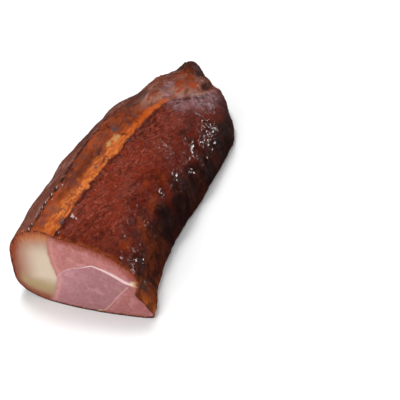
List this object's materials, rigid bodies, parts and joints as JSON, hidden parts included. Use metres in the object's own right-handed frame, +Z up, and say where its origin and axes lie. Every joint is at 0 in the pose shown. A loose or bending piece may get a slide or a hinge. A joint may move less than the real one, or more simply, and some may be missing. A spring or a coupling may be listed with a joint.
{
  "type": "smoked pork belly slab",
  "caption": "Slab of smoked pork belly lying flat, with a rind edge, thick fat, a dark lean side, a square cut face in front and a lobed torn tip behind.",
  "frame": {"origin": "middle of the slab's footprint, at the level it rests on", "axes": "+Z up; -Y out of the cut face, so the slab runs back to its torn tip along +Y; -X towards the rind side and +X towards the lean side"},
  "size_m": [0.1196, 0.3198, 0.0694],
  "materials": {
    "smoked_meat": "satin"
  },
  "bodies": {
    "root": {"smoked_pork_belly": "smoked_meat"}
  },
  "joints": []
}
